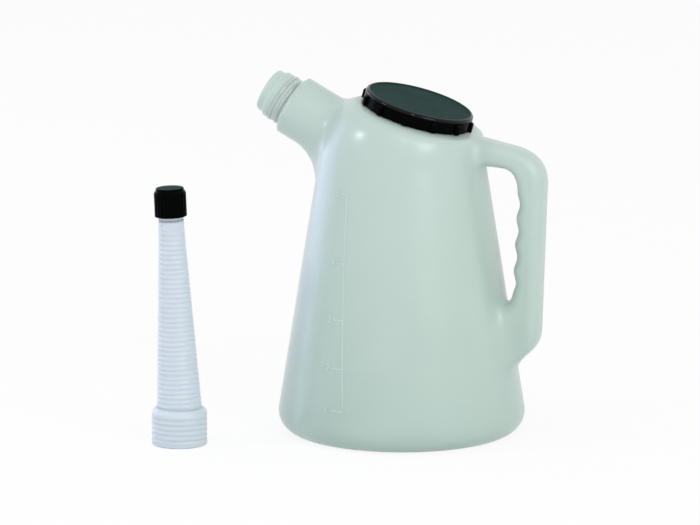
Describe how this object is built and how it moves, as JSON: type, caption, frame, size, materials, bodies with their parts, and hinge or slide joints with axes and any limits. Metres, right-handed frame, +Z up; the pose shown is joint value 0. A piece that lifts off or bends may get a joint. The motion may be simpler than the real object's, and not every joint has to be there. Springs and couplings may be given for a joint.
{
  "type": "measuring jug",
  "caption": "Conical measuring jug with a hollow side handle, threaded pouring neck, screw lid and a capped flexible spout.",
  "frame": {"origin": "centre of the jug's flat base", "axes": "+Z up, +X towards the handle, -X towards the pouring neck"},
  "size_m": [0.3044, 0.2364, 0.2976],
  "materials": {
    "jug_plastic": "milky translucent polyethylene, satin",
    "spout_plastic": "clear-ish translucent polyethylene, satin",
    "lid_plastic": "moulded black, semi-gloss",
    "seal_rubber": "plain"
  },
  "bodies": {
    "jug": {"jug_body": "jug_plastic", "flex_spout": "spout_plastic"},
    "lid_seal": {"lid_seal": "seal_rubber"},
    "lid": {"lid": "lid_plastic"},
    "cap_liner": {"spout_cap_liner": "seal_rubber"},
    "spout_cap": {"spout_cap": "lid_plastic"}
  },
  "joints": [
    {"name": "lid_rise", "type": "slide", "parent": "jug", "child": "lid_seal", "axis": [0.2756, 0, 0.9613], "range_m": [0, 0.0091]},
    {"name": "lid_turn", "type": "hinge", "parent": "lid_seal", "child": "lid", "pos_m": [0.0123, 0, 0.267], "axis": [0.2756, 0, 0.9613], "range_deg": [0, 540]},
    {"name": "cap_rise", "type": "slide", "parent": "jug", "child": "cap_liner", "axis": [-0.0362, -0.0128, 0.9993], "range_m": [0, 0.0221]},
    {"name": "cap_turn", "type": "hinge", "parent": "cap_liner", "child": "spout_cap", "pos_m": [-0.15629, -0.11066, 0.0315], "axis": [-0.0362, -0.0128, 0.9993], "range_deg": [0, 1980]}
  ],
  "couplings": [
    {"joint": "lid_rise", "follows": "lid_turn", "m_per_rad": 0.00095493},
    {"joint": "cap_rise", "follows": "cap_turn", "m_per_rad": 0.00063662}
  ]
}
